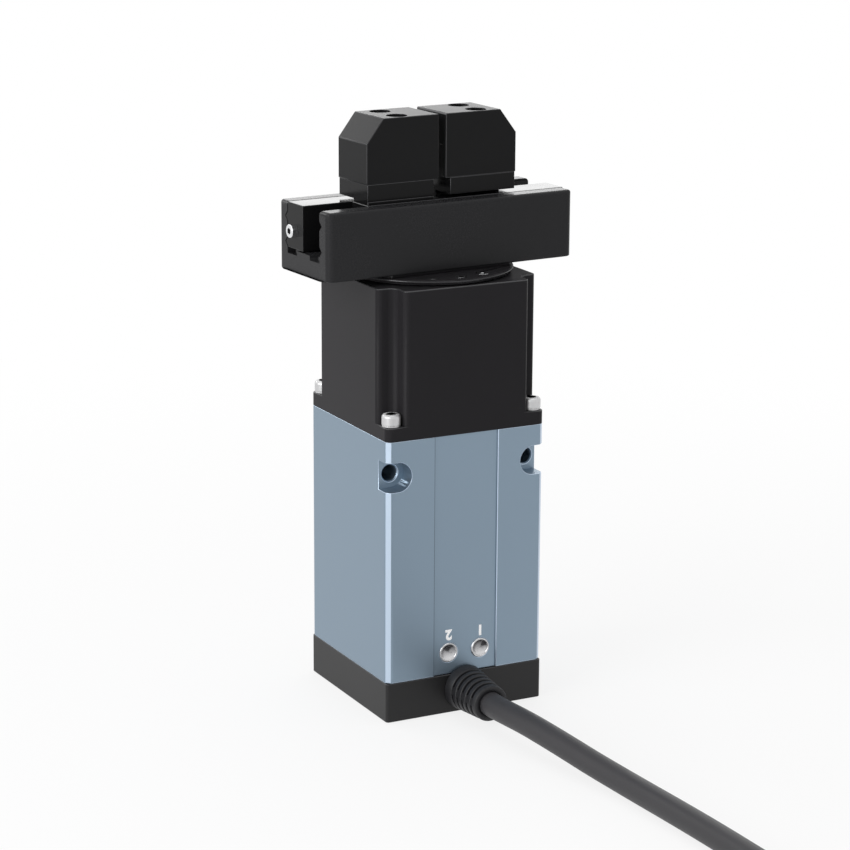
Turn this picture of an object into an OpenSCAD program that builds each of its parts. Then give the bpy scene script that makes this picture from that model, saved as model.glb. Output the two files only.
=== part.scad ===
// Electric two finger gripper with a turning head, a rack and pinion drive and a fixed cable.
// Origin: centre of the underside of the base cap. +Z runs up to the fingers, -Y is the cable side.

/* [Body] */
// Width and depth of the square body
body_w = 50; // [48:0.5:56]
// Rounding of the housing's upright edges
body_corner_r = 2; // [1:0.5:3]
// Rounding of the cap's upright edges
cap_corner_r = 1; // [0.6:0.2:2]
// Height of the base cap
cap_h = 11.5; // [11.3:0.1:14]
// Thickness of the base cap's floor
cap_floor = 2; // [1.5:0.25:2.5]
// Height of the extruded housing
housing_h = 70.8; // [69:0.2:84]
// Thickness of the housing's front and back walls
face_wall = 3.5; // [3:0.25:4]
// Width of the sunk panel on the front
panel_w = 20; // [18:1:24]
// Depth of the sunk panel
panel_depth = 0.5; // [0.3:0.1:0.8]

/* [Side mounting] */
// Distance from the body's side to the middle of each through hole
side_hole_inset = 3.5; // [3:0.1:4.5]
// Diameter of the through holes
side_hole_d = 4.5; // [4:0.1:4.8]
// Drop from the housing's top to the through holes
side_hole_drop = 10.3; // [10:0.1:14]
// Diameter of the screw head pockets
pocket_d = 8.5; // [7.5:0.1:9]
// Depth of the screw head pockets
pocket_depth = 5.6; // [4:0.1:7]
// Wall left between a pocket and the inside
pocket_wall = 0.75; // [0.5:0.25:1]

/* [Drive housing] */
// Thickness of the square flange
flange_h = 4; // [3.5:0.25:5]
// Height of the notched block on the flange
block_h = 38.3; // [37:0.1:44]
// Corner notch along X
notch_x = 5.5; // [5:0.1:6]
// Corner notch along Y
notch_y = 6.2; // [5.5:0.1:6.6]
// Fillet at the bottom of each corner notch
notch_r = 2.5; // [1.5:0.25:3]
// Rounding of the block's upright edges
block_edge_r = 1.6; // [1:0.1:2]

/* [Rotary table] */
// Angle of the head on the body, in degrees
head_turn = 3.8; // [-45:0.1:45]
// Diameter of the stator
stator_d = 41; // [40:0.25:41.5]
// Height of the stator core
stator_h = 9; // [7:0.5:10]
// Depth of the stator's slots
stator_slot = 3.5; // [3:0.25:4]
// Outside diameter of the table's bearing
bearing_od = 37; // [36:0.25:38]
// Bore of the table's bearing
bearing_id = 25; // [24:0.25:26]
// Width of the table's bearing
bearing_h = 6; // [5:0.25:7]
// Balls in the bearing
ball_count = 18; // [12:1:20]
// Diameter of the output disc
disc_d = 49; // [48:0.5:51]
// Thickness of the output disc's rim
disc_h = 0.8; // [0.75:0.05:1.1]
// Height of the disc's pad under the rail
pad_h = 0.8; // [0.6:0.1:1.2]
// Thickness of the hub's disc under it
hub_h = 0.6; // [0.5:0.1:1]
// Gap between the turning discs and the drive housing
table_gap = 0.3; // [0.2:0.05:0.6]

/* [Slide rail] */
// Length of the rail
rail_l = 80; // [79.5:0.25:84]
// Width of the rail
rail_w = 28.5; // [27:0.25:29.5]
// Height of the rail
rail_h = 19.25; // [19:0.25:21]
// Rounding of the rail's upright edges
rail_corner_r = 2; // [1:0.25:3]
// Rounding of the rail's top edges
rail_edge_r = 1.2; // [0.6:0.1:1.6]
// Thickness of the channel's side walls
rail_wall = 5.05; // [4.6:0.05:5.2]
// Height of the rib in the middle of the channel
rib_h = 6; // [5.75:0.05:6.25]
// Width of the rib
rib_w = 7.3; // [6.5:0.1:7.8]
// Depth of the slots beside the rib
slot_depth = 1.3; // [1:0.1:1.6]
// Depth of the V guide grooves
groove_depth = 1.3; // [0.8:0.1:1.8]
// Half the height of a V guide groove
groove_half = 1.4; // [0.9:0.1:1.6]
// Drop from the rail's top to the upper groove
upper_groove_drop = 4.1; // [3.8:0.1:4.4]
// Distance between the two grooves of a wall
groove_span = 7.2; // [6.8:0.1:7.6]

/* [Jaws] */
// How far each jaw opens from the rest position
jaw_open = 14.1; // [10:0.1:14.4]
// How far each jaw closes from the rest position
jaw_close = 0.9; // [0.2:0.1:0.9]
// Gap between the fingers at rest
finger_gap = 2.3; // [2.1:0.1:3]
// Length of a finger along the rail
finger_l = 23.2; // [21:0.1:23.4]
// Width of a finger
finger_w = 16; // [15:0.25:18]
// Height of a finger
finger_h = 18.15; // [16:0.05:24]
// Outer chamfer of a finger, along the rail
chamfer_x = 5.3; // [3:0.1:6]
// Outer chamfer of a finger, upwards
chamfer_z = 6.8; // [4:0.1:8]
// Height of the relief below the gripping face
relief_h = 9; // [6:0.25:10]
// Depth of that relief
relief_depth = 0.7; // [0.4:0.1:0.9]
// Width of that relief
relief_w = 11.6; // [8:0.1:12.6]
// Height of the seat under a finger
seat_h = 4.8; // [4.2:0.1:6]
// How far the seat stands back from the gripping face
seat_inset = 1.55; // [1:0.05:2]
// How far the seat stands back from the finger's outer end
seat_step = 0.3; // [0:0.1:0.6]
// Gap between the seat and the rail
seat_gap = 0.85; // [0.5:0.05:1.2]
// Distance between a finger's two screws
finger_screw_span = 9.2; // [8.4:0.1:9.4]
// Depth of the finger's screw pockets
finger_pocket_depth = 12; // [9:0.25:12.5]

/* [Grip drive] */
// Module of the rack and pinion
gear_module = 0.6; // [0.5:0.05:0.7]
// Teeth on the pinion, an even number
pinion_teeth = 14; // [12:2:18]
// Face width of the pinion
pinion_h = 5.6; // [4:0.1:8]
// Diameter of the drive shaft
shaft_d = 5; // [4:0.1:5.6]
// Diameter of the grip motor
motor_d = 28; // [24:0.5:30]
// Length of the grip motor
motor_l = 36; // [30:0.5:38]
// Diameter of the motor's own shaft
motor_shaft_d = 4; // [3:0.1:5]
// Thickness of the plate that carries the motor
plate_h = 3; // [2.5:0.25:4]
// Diameter of the shaft coupling
coupling_d = 14; // [12:0.25:14.5]
// Length of the shaft coupling
coupling_l = 12; // [11:0.25:13]

/* [Front lights] */
// Diameter of a status light's ring
light_d = 5.8; // [5:0.1:6.4]
// Distance between the status lights
light_span = 10.2; // [9:0.1:11]
// Height of the status lights above the housing's lower edge
light_rise = 6.5; // [5.5:0.1:9]

/* [Cable] */
// Diameter of the cable
cable_d = 7; // [6.5:0.1:7]
// Height of the cable's outlet
outlet_z = 7; // [6.9:0.05:7.2]
// Diameter of the strain relief at the housing
boot_d = 13.2; // [12:0.1:13.6]
// Diameter of the strain relief at its far end
boot_tip_d = 10.4; // [9.6:0.1:11.4]
// Length of the strain relief
boot_l = 16; // [14.5:0.5:18]
// Diameter of the outlet's neck through the cap's wall
neck_d = 7.6; // [7:0.1:7.8]
// Middle diameter of the coil's turns
coil_d = 76; // [72:1:80]
// Diameter of the cable's plug
plug_d = 14.5; // [12:0.5:16]
// Length of the cable's plug
plug_l = 40; // [34:0.5:44]

/* [Hidden] */
$fn = 48;
eps = 0.01;

// Clearances
fit = 0.15;          // between parts that are put together
slide_fit = 0.15;    // between the sliders and the channel's walls
bar_gap = 0.3;       // between the two sliders' bars
run_fit = 0.05;      // radial, between a shaft and its bush or bore
turn_gap = 0.3;      // between parts that turn past each other
floor_gap = 0.5;     // between the bars and the rib

// Fasteners, all by thread radius: M2, M2.5 and M3
m2 = 1;
m25 = 1.25;
m3 = 1.5;
m2_head_d = 3.8;
m25_head_d = 4.5;
m25_head_h = 2.2;
m3_head_d = 5.4;
m3_head_h = 3;
hole_play = 0.1;     // radial, round a screw's shank
thread_spare = 0.2;  // depth left under a screw's tip

// Heights of the stack
z_housing = cap_h;
z_flange = z_housing + housing_h;
z_block = z_flange + flange_h;
z_deck = z_block + block_h;
z_hub = z_deck + table_gap;
z_disc = z_hub + hub_h;
z_pad = z_disc + disc_h;
z_rail = z_pad + pad_h;
z_rib = z_rail + rib_h;
z_slot = z_rib - slot_depth;
z_rail_top = z_rail + rail_h;
z_seat = z_rail_top + seat_gap;
z_finger = z_seat + seat_h;
z_tip = z_finger + finger_h;

// Inside of the body
side_wall = side_hole_inset + pocket_d / 2 + pocket_wall;
cavity_w = body_w - 2 * side_wall;
cavity_d = body_w - 2 * face_wall;
spigot_h = 2.5;
spigot_wall = 2.5;
cap_screw_x = body_w / 2 - side_wall / 2;
cap_screw_y = body_w / 2 - face_wall - 1.2;
cap_screw_l = cap_h + 4;
cap_head_sink = 0.3;
flange_screw_l = 10;
flange_washer_h = 0.5;
flange_screw_x = body_w / 2 - notch_x / 2;
flange_screw_y = body_w / 2 - notch_y / 2;
flange_thread_z = z_block + flange_washer_h - flange_screw_l - thread_spare;
side_hole_x = body_w / 2 - side_hole_inset;
side_hole_z = z_flange - side_hole_drop;
side_hole_chamfer = 0.4;
light_z = z_housing + light_rise;
light_y = -body_w / 2 + panel_depth;
ring_t = 0.6;
lens_d = light_d - 2 * ring_t;

// Grip motor and its plate
z_plate = z_flange - plate_h;
z_motor = z_plate - motor_l;
motor_boss_d = 10;
motor_boss_h = 2;
motor_pcd = 20;
motor_bore_l = 18;
motor_head_h = 1.6;
z_motor_shaft = z_plate - motor_bore_l + 1;
encoder_h = 7;
encoder_d = motor_d - 4;
plate_screw_x = cavity_w / 2 - 3;
plate_screw_y = cavity_d / 2 - 3;
z_coupling = z_flange + 2.6;
coupling_slit = 0.8;
board_w = cavity_w - 6;
board_h = 22;
board_t = 1.6;
board_z = z_housing + spigot_h + 2;
board_y = cavity_d / 2 - 4;
standoff_d = 4;
chip_t = 1.2;
socket_t = 5;

// Rotary table
drive_bore_d = stator_d + 0.2;
z_bearing = z_deck - 3.3 - bearing_h;
bearing_lip = 1.5;
clip_h = 0.8;
clip_d = bearing_od + 1.8;
clip_w = 2.2;
clip_mouth = 4;
clip_play = 0.1;
clip_rim = 1.2;
z_clip = z_bearing - clip_h;
ball_d = 3.4;
ball_ring_d = (bearing_od + bearing_id) / 2;
ring_face = ball_d * 0.32;
race_gap = 0.08;
stator_teeth = 12;
stator_yoke = 2;
tooth_w = 2.4;
air_gap_d = stator_d - 2 * stator_yoke - 2 * stator_slot;
shoe_t = 1;
shoe_lap = 0.4;
tooth_l = stator_slot + stator_yoke / 2 - shoe_t + shoe_lap;
coil_w = 1.2;
coil_fit = 0.25;
coil_over = 1.6;
z_stator = z_clip - clip_rim - 0.6 - coil_over - stator_h;
magnet_count = 14;
magnet_t = 2.5;
magnet_half = 0.9 * 180 / magnet_count;
air_gap = 0.5;
rotor_d = air_gap_d - 2 * air_gap - 2 * magnet_t;
rotor_wall = 2.5;
rotor_bore_d = shaft_d + 7;
rotor_floor = 2;
bearing_step = 1.2;
z_rotor = z_stator - coil_over - rotor_floor;
code_disc_d = 26;
code_disc_h = 0.8;
rotor_hub_d = rotor_bore_d + 2 * rotor_wall;
rotor_top_gap = 0.2;
reader_h = 1.2;
z_reader = z_rotor - turn_gap - 1.4 - reader_h;
disc_screw_ring = disc_d / 2 - 4.2;
disc_screw_angles = [for (side = [86, 266], step = [-23, 0, 23]) side + step];
flat_head_d = 3.6;
flat_head_h = 0.7;
bush_d = shaft_d + 4;
bush_h = 4;
hub_d = disc_d - 1.2;
hub_bore_d = bush_d - 1;
hub_boss_d = bearing_id + 2.4;
z_hub_boss = z_bearing + bearing_h;
hub_screw_count = 4;
hub_screw_ring = (rotor_bore_d + bearing_id) / 4;
hub_screw_l = 8;
z_hub_screw = z_disc - m25_head_h - 0.1;
hub_bore_l = z_disc - z_hub_boss;
pad_inset = 0.8;
disc_chamfer = 0.15;

// Rail and sliders
channel_half = rail_w / 2 - rail_wall;
bar_out = channel_half - slide_fit;
bar_in = bar_gap / 2;
bar_mid = (bar_out + bar_in) / 2;
z_bar = z_rib + floor_gap;
upper_groove_z = z_rail_top - upper_groove_drop;
lower_groove_z = upper_groove_z - groove_span;
rail_screw_x = 17;
rail_screw_head_d = 4.4;
rail_screw_head_h = 1.5;
stop_screw_x = rail_l / 2 - 3.2;
stop_screw_l = 3;
stop_head_h = 1.3;
slot_mid = (rib_w / 2 + channel_half) / 2;
seat_in = finger_gap / 2 + seat_inset;
finger_out = finger_gap / 2 + finger_l;
seat_out = finger_out - seat_step;
bar_end = finger_out + 0.1;
finger_screw_x = finger_gap / 2 + finger_l * 0.506;
end_screw_z = z_bar + 5.2;
end_screw_l = 5.5;
end_head_h = 2;
finger_break = 0.3;
finger_grip = 3.8;  // length of thread in the seat

// Rack and pinion
pitch_r = gear_module * pinion_teeth / 2;
pressure = 20;
base_r = pitch_r * cos(pressure);
tip_r = pitch_r + gear_module;
root_r = pitch_r - 1.25 * gear_module;
rack_pitch = PI * gear_module;
rack_add = 0.75 * gear_module;
rack_ded = 1.25 * gear_module;
backlash = 0.08;
tooth_half = 90 / pinion_teeth + (tan(pressure) * 180 / PI - pressure);
rack_first = -ceil((jaw_open + tip_r) / rack_pitch);
rack_last = floor((jaw_close + tip_r) / rack_pitch) - 1;
rack_room_in = jaw_close + tip_r + 0.6;
rack_room_out = jaw_open + tip_r + 0.6;
z_pinion = z_bar + 0.1;
recess_h = pinion_h + 0.6;
z_shaft = z_coupling + coupling_l / 2 + coupling_slit / 2;

// Cable, lying on the ground in front of the body
boot_ribs = 5;
boot_start = -body_w / 2;
boot_root = 3.4;
boot_dip = 1.1;
nose_chamfer = 0.6;
neck_l = face_wall + 4;
cable_r = cable_d / 2;
cable_lead = [
    [0, -38, 7], [0, -44, 7], [0.6, -50, 7], [1.6, -58, 6.9], [2.8, -67, 6.4], [4.2, -77, 5.6],
    [5.8, -88, 4.6], [7.4, -99, 3.8], [8.4, -110, 3.5], [9.2, -124, 3.5], [9.9, -140, 3.5],
    [10.3, -158, 3.5], [10.5, -176, 3.5], [10.5, -194, 3.5], [10.5, -212, 3.5]
];
coil_x = 10.5 - coil_d / 2;
coil_y = -212;
coil_layers = 2;
tail_x = coil_x - coil_d / 2;
cable_tail = [
    [tail_x, -212, 10.5], [tail_x, -207, 10.2], [tail_x, -201, 9.2], [tail_x, -195, 8],
    [tail_x, -188, 7.25], [tail_x, -182, 7.25]
];
plug_y = -187;
plug_socket = 6;
cable_sides = 8;

// ---- shared shapes ----

module round_rect(w, d, r) {
    square([w - 2 * r, d], center = true);
    square([w, d - 2 * r], center = true);
    for (x = [-1, 1], y = [-1, 1]) translate([x * (w / 2 - r), y * (d / 2 - r)]) circle(r);
}

// Square with its two upper corners rounded, standing on the X axis
module round_top(w, h, r) {
    translate([-w / 2, 0]) square([w, h - r]);
    translate([-w / 2 + r, 0]) square([w - 2 * r, h]);
    for (x = [-1, 1]) translate([x * (w / 2 - r), h - r]) circle(r);
}

module at_corners(x, y) {
    for (sx = [-1, 1], sy = [-1, 1]) translate([sx * x, sy * y, 0]) children();
}

module around(n, r) {
    for (i = [0 : n - 1]) rotate([0, 0, 360 * i / n]) translate([r, 0, 0]) children();
}

module tube(ro, ri, h) {
    difference() {
        cylinder(r = ro, h = h);
        translate([0, 0, -eps]) cylinder(r = ri, h = h + 2 * eps);
    }
}

// Socket cap screw hanging down from the origin, which is under its head
module cap_screw(r, l, head_d, head_h) {
    difference() {
        union() {
            cylinder(d = head_d, h = head_h);
            translate([0, 0, -l]) cylinder(r = r, h = l);
        }
        translate([0, 0, head_h * 0.45]) cylinder(r = r * 0.95, h = head_h, $fn = 6);
    }
}

// Countersunk screw hanging down from the origin, which is in the middle of its head's top
module flat_screw(r, l, head_d, head_h) {
    difference() {
        union() {
            translate([0, 0, -head_h]) cylinder(r1 = r, r2 = head_d / 2, h = head_h);
            translate([0, 0, -l]) cylinder(r = r, h = l - head_h + eps);
        }
        translate([0, 0, -head_h * 0.75]) cylinder(r = r * 0.6, h = head_h, $fn = 6);
    }
}

// Everything that turns with the head
module head() {
    rotate([0, 0, head_turn]) children();
}

// ---- body ----

module base_cap() color("#2b2b2d") difference() {
    union() {
        linear_extrude(cap_h) round_rect(body_w, body_w, cap_corner_r);
        translate([0, 0, cap_h]) linear_extrude(spigot_h)
            round_rect(cavity_w - 2 * fit, cavity_d - 2 * fit, 1);
    }
    translate([0, 0, cap_floor]) linear_extrude(cap_h + spigot_h)
        round_rect(cavity_w - 2 * fit - 2 * spigot_wall, cavity_d - 2 * fit - 2 * spigot_wall, 1);
    at_corners(cap_screw_x, cap_screw_y) {
        translate([0, 0, -eps]) cylinder(r = m3 + hole_play, h = cap_h + 2 * eps);
        translate([0, 0, -eps]) cylinder(r = m3_head_d / 2 + 2 * fit, h = m3_head_h + cap_head_sink);
    }
    translate([0, 0, outlet_z]) rotate([90, 0, 0]) cylinder(d = neck_d, h = body_w);
}

module cap_screws() color("#9a9a9a") at_corners(cap_screw_x, cap_screw_y)
    translate([0, 0, m3_head_h + cap_head_sink]) mirror([0, 0, 1])
        cap_screw(m3, cap_screw_l, m3_head_d, m3_head_h);

module pocket(side) translate([side * side_hole_x, 0, side_hole_z]) rotate([90, 0, 0]) {
    translate([0, 0, -body_w / 2 - eps]) cylinder(d = side_hole_d, h = body_w + 2 * eps);
    translate([0, 0, body_w / 2 - pocket_depth]) {
        cylinder(d = pocket_d, h = body_w);
        translate([side > 0 ? 0 : -body_w, -pocket_d / 2, 0]) cube([body_w, pocket_d, body_w]);
        translate([0, 0, -side_hole_chamfer])
            cylinder(d1 = side_hole_d, d2 = side_hole_d + 2 * side_hole_chamfer, h = side_hole_chamfer + eps);
    }
}

module body_housing() color("#8fa3b3") difference() {
    translate([0, 0, z_housing]) linear_extrude(housing_h) difference() {
        round_rect(body_w, body_w, body_corner_r);
        round_rect(cavity_w, cavity_d, 1.5);
        translate([-panel_w / 2, -body_w / 2 - 1]) square([panel_w, 1 + panel_depth]);
    }
    for (side = [-1, 1]) pocket(side);
    at_corners(flange_screw_x, flange_screw_y)
        translate([0, 0, flange_thread_z]) cylinder(r = m3, h = flange_screw_l);
    at_corners(cap_screw_x, cap_screw_y)
        translate([0, 0, z_housing - eps]) cylinder(r = m3, h = cap_screw_l - cap_h + 5);
    for (x = [-1, 1]) translate([x * light_span / 2, 0, light_z]) rotate([90, 0, 0])
        cylinder(d = light_d, h = body_w);
}

module at_lights() {
    for (x = [-1, 1]) translate([x * light_span / 2, light_y, light_z]) rotate([90, 0, 0]) children();
}

module lens_rings() color("#d5d8da") at_lights() rotate_extrude()
    polygon([
        [lens_d / 2, -2], [light_d / 2, -2], [light_d / 2, 0.1], [light_d / 2 - ring_t / 2, 0.3],
        [lens_d / 2, 0.1]
    ]);

module status_lenses() color("#c9cdd0") at_lights() difference() {
    translate([0, 0, -2]) cylinder(d = lens_d, h = 2);
    translate([0, 0, lens_d * 0.9]) sphere(d = lens_d * 2);
}

module board_outline() {
    translate([-board_w / 2, board_y - board_t, board_z]) cube([board_w, board_t, board_h]);
}

module at_standoffs() {
    for (x = [-1, 1], z = [3, board_h - 3]) translate([x * (board_w / 2 - 3), board_y, board_z + z])
        rotate([-90, 0, 0]) children();
}

module control_board() color("#1f5c3a") difference() {
    union() {
        board_outline();
        for (x = [-0.24, 0.04], z = [0.28, 0.6])
            translate([x * board_w, board_y - board_t - chip_t, board_z + z * board_h])
                cube([0.2 * board_w, chip_t + eps, 0.18 * board_h]);
        translate([-0.2 * board_w, board_y - board_t - socket_t, board_z + 0.03 * board_h])
            cube([0.4 * board_w, socket_t + eps, 0.18 * board_h]);
    }
    at_standoffs() translate([0, 0, -board_t - 1]) cylinder(r = m2 + hole_play, h = board_t + 2);
}

module board_standoffs() color("#c8a24a") at_standoffs() {
    cylinder(d = standoff_d, h = cavity_d / 2 - board_y);
    translate([0, 0, -board_t]) cylinder(r = m2, h = board_t);
    translate([0, 0, -board_t - 1]) cylinder(d = standoff_d, h = 1);
}

// ---- grip motor ----

module motor_circle() {
    rotate([0, 0, 45]) around(4, motor_pcd / 2) children();
}

module grip_motor() color("#3a3a3c") difference() {
    translate([0, 0, z_motor]) union() {
        rotate_extrude() polygon([
            [0, 0], [motor_d / 2 - 1, 0], [motor_d / 2, 1], [motor_d / 2, motor_l], [0, motor_l]
        ]);
        translate([0, 0, motor_l - eps]) cylinder(d = motor_boss_d, h = motor_boss_h);
    }
    translate([0, 0, z_plate - motor_bore_l]) cylinder(r = motor_shaft_d / 2 + run_fit, h = motor_bore_l + 5);
    motor_circle() translate([0, 0, z_plate - 3.5]) cylinder(r = m25, h = 4);
}

module motor_encoder() color("#222226") translate([0, 0, z_motor - encoder_h]) {
    cylinder(d = encoder_d, h = encoder_h);
    translate([-5, encoder_d / 2 - 2, 1]) cube([10, 4, 4]);
}

module motor_plate() color("#b4b7ba") difference() {
    translate([0, 0, z_plate]) linear_extrude(plate_h)
        round_rect(cavity_w - 2 * fit, cavity_d - 2 * fit, 1.5);
    translate([0, 0, z_plate - eps]) cylinder(d = motor_boss_d + hole_play, h = plate_h + 1);
    motor_circle() translate([0, 0, z_plate - eps]) cylinder(r = m25 + hole_play, h = plate_h + 1);
    at_corners(plate_screw_x, plate_screw_y) translate([0, 0, z_plate - eps])
        cylinder(r = m25 + hole_play, h = plate_h + 1);
}

module plate_screws() color("#9a9a9a") at_corners(plate_screw_x, plate_screw_y)
    translate([0, 0, z_plate]) mirror([0, 0, 1])
        cap_screw(m25, plate_h + 3, m25_head_d, m25_head_h);

module motor_screws() color("#9a9a9a") motor_circle()
    translate([0, 0, z_flange]) cap_screw(m25, plate_h + 3, m25_head_d, motor_head_h);

// ---- drive housing with the rotary table's motor ----

module block_outline() {
    round_rect(body_w, body_w - 2 * notch_y, block_edge_r);
    round_rect(body_w - 2 * notch_x, body_w, block_edge_r);
    for (x = [-1, 1], y = [-1, 1])
        translate([x * (body_w / 2 - notch_x), y * (body_w / 2 - notch_y)]) corner_fillet(x, y);
}

// Fillet in the notch's inner corner
module corner_fillet(x, y) {
    mirror([x < 0 ? 1 : 0, 0]) mirror([0, y < 0 ? 1 : 0]) difference() {
        translate([-eps, -eps]) square(notch_r + eps);
        translate([notch_r, notch_r]) circle(notch_r);
    }
}

module drive_housing() color("#262628") difference() {
    union() {
        translate([0, 0, z_flange]) linear_extrude(flange_h) round_rect(body_w, body_w, body_corner_r);
        translate([0, 0, z_block - eps]) linear_extrude(block_h + eps) block_outline();
    }
    translate([0, 0, z_flange - eps]) cylinder(d = drive_bore_d, h = z_clip - clip_rim - z_flange);
    translate([0, 0, z_flange]) cylinder(d = bearing_od, h = z_bearing + bearing_h - z_flange);
    translate([0, 0, z_clip]) cylinder(d = clip_d + 2 * clip_play, h = z_bearing - z_clip);
    translate([0, 0, z_bearing]) cylinder(r = bearing_od / 2 - bearing_lip, h = z_deck - z_bearing + 1);
    at_corners(flange_screw_x, flange_screw_y)
        translate([0, 0, z_flange - eps]) cylinder(r = m3 + hole_play, h = flange_h + 1);
    at_corners(plate_screw_x, plate_screw_y)
        translate([0, 0, z_flange - eps]) cylinder(r = m25, h = 3.4);
}

module housing_screws() color("#d0d0d0") at_corners(flange_screw_x, flange_screw_y)
    translate([0, 0, z_block + flange_washer_h]) cap_screw(m3, flange_screw_l, m3_head_d, m3_head_h);

module housing_washers() color("#b8b8b8") at_corners(flange_screw_x, flange_screw_y)
    translate([0, 0, z_block]) tube(m3_head_d / 2 - 0.1, m3 + 0.05, flange_washer_h);

module stator_core() color("#7d7f82") translate([0, 0, z_stator]) linear_extrude(stator_h) {
    difference() {
        circle(d = stator_d);
        circle(r = stator_d / 2 - stator_yoke);
    }
    around(stator_teeth, 0) {
        translate([air_gap_d / 2 + shoe_t - shoe_lap, -tooth_w / 2]) square([tooth_l, tooth_w]);
        intersection() {
            difference() {
                circle(r = air_gap_d / 2 + shoe_t);
                circle(r = air_gap_d / 2);
            }
            translate([0, -tooth_w]) square([stator_d, 2 * tooth_w]);
        }
    }
}

module stator_coils() color("#b5652b") around(stator_teeth, 0) {
    room = stator_slot - shoe_t - 2 * coil_fit;
    translate([air_gap_d / 2 + shoe_t + coil_fit, 0, z_stator - coil_over]) difference() {
        translate([0, -tooth_w / 2 - coil_w, 0]) cube([room, tooth_w + 2 * coil_w, stator_h + 2 * coil_over]);
        translate([-1, -tooth_w / 2, coil_over]) cube([room + 2, tooth_w, stator_h]);
    }
}

module bearing_ring(ri, ro, groove) translate([0, 0, z_bearing]) rotate_extrude() difference() {
    translate([ri, 0]) square([ro - ri, bearing_h]);
    translate([ball_ring_d / 2, bearing_h / 2]) circle(d = ball_d + 2 * groove);
}

module bearing_outer_ring() color("#c4c7ca")
    bearing_ring(ball_ring_d / 2 + ring_face, bearing_od / 2, race_gap);

// Spring ring that keeps the bearing in its seat
module bearing_clip() color("#6c6e70") translate([0, 0, z_clip]) linear_extrude(clip_h) difference() {
    circle(d = clip_d);
    circle(d = clip_d - 2 * clip_w);
    translate([0, -clip_mouth / 2]) square([clip_d, clip_mouth]);
}

module angle_reader() color("#1f5c3a") translate([0, 0, z_reader]) {
    tube(drive_bore_d / 2, coupling_d / 2 + 1.2, reader_h);
    translate([code_disc_d / 2 - 5, -3, reader_h - eps]) cube([6, 6, 1]);
}

// ---- turning head ----

module rotor_tube() color("#a9acb0") head() difference() {
    rotate_extrude() polygon(rotor_profile);
    at_hub_screws() translate([0, 0, -hub_screw_l - thread_spare]) cylinder(r = m25, h = hub_screw_l);
}

rotor_profile = [
    [rotor_bore_d / 2, z_rotor], [rotor_hub_d / 2, z_rotor],
    [rotor_hub_d / 2, z_rotor + rotor_floor], [rotor_d / 2, z_rotor + rotor_floor],
    [rotor_d / 2, z_bearing - bearing_step], [bearing_id / 2 + bearing_step, z_bearing - bearing_step],
    [bearing_id / 2 + bearing_step, z_bearing], [bearing_id / 2, z_bearing],
    [bearing_id / 2, z_hub_boss - rotor_top_gap], [rotor_bore_d / 2, z_hub_boss - rotor_top_gap]
];

module rotor_magnets() color("#5a5d61") head() translate([0, 0, z_stator]) linear_extrude(stator_h)
    around(magnet_count, 0) intersection() {
        difference() {
            circle(r = rotor_d / 2 + magnet_t);
            circle(r = rotor_d / 2);
        }
        polygon([
            [0, 0], rotor_d * [cos(magnet_half), -sin(magnet_half)],
            rotor_d * [cos(magnet_half), sin(magnet_half)]
        ]);
    }

module bearing_inner_ring() color("#c4c7ca") head()
    bearing_ring(bearing_id / 2, ball_ring_d / 2 - ring_face, race_gap / 2);

module bearing_balls() color("#e0e0e0") head() around(ball_count, ball_ring_d / 2)
    translate([0, 0, z_bearing + bearing_h / 2]) sphere(d = ball_d);

module code_disc() color("#d8dce0") head() translate([0, 0, z_rotor])
    tube(code_disc_d / 2, rotor_hub_d / 2, code_disc_h);

module at_disc_screws() {
    for (a = disc_screw_angles) rotate([0, 0, a]) translate([disc_screw_ring, 0, 0]) children();
}

module rail_screw_holes(z, h) {
    at_corners(rail_screw_x, slot_mid) translate([0, 0, z]) cylinder(r = m25, h = h);
}

module at_hub_screws() {
    rotate([0, 0, 45]) around(hub_screw_count, hub_screw_ring)
        translate([0, 0, z_hub_screw]) children();
}

module table_hub() color("#202022") head() difference() {
    union() {
        translate([0, 0, z_hub]) cylinder(d = hub_d, h = hub_h);
        translate([0, 0, z_hub_boss]) cylinder(d = hub_boss_d, h = z_hub - z_hub_boss + eps);
    }
    translate([0, 0, z_hub_boss - eps]) cylinder(d = hub_bore_d, h = hub_bore_l + 1);
    at_disc_screws() translate([0, 0, z_hub - eps]) cylinder(r = m2, h = hub_h + 1);
    rail_screw_holes(z_hub - eps, hub_h + 1);
    at_hub_screws() {
        cylinder(r = m25_head_d / 2 + fit, h = hub_bore_l);
        translate([0, 0, -hub_screw_l]) cylinder(r = m25 + hole_play, h = hub_screw_l + eps);
    }
}

module hub_screws() color("#9a9a9a") head() at_hub_screws()
    cap_screw(m25, hub_screw_l, m25_head_d, m25_head_h);

module output_disc() color("#2a2a2c") head() difference() {
    translate([0, 0, z_disc]) union() {
        cylinder(d = disc_d, h = disc_h - disc_chamfer);
        translate([0, 0, disc_h - disc_chamfer])
            cylinder(d1 = disc_d, d2 = disc_d - 2 * disc_chamfer, h = disc_chamfer);
        translate([0, 0, disc_h - eps]) linear_extrude(pad_h + eps) intersection() {
            circle(d = disc_d - 2 * pad_inset);
            square([disc_d, rail_w - 2 * pad_inset], center = true);
        }
    }
    translate([0, 0, z_disc - eps]) cylinder(d = hub_bore_d, h = disc_h + pad_h + 1);
    at_disc_screws() {
        translate([0, 0, z_disc - eps]) cylinder(r = m2, h = disc_h + 1);
        translate([0, 0, z_pad - flat_head_h]) cylinder(r1 = m2, r2 = flat_head_d / 2, h = flat_head_h);
        translate([0, 0, z_pad - eps]) cylinder(d = flat_head_d, h = pad_h + 1);
    }
    rail_screw_holes(z_disc - eps, disc_h + pad_h + 1);
}

module disc_screws() color("#d0d0d0") head() at_disc_screws()
    translate([0, 0, z_pad]) flat_screw(m2, disc_h + hub_h, flat_head_d, flat_head_h);

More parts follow.
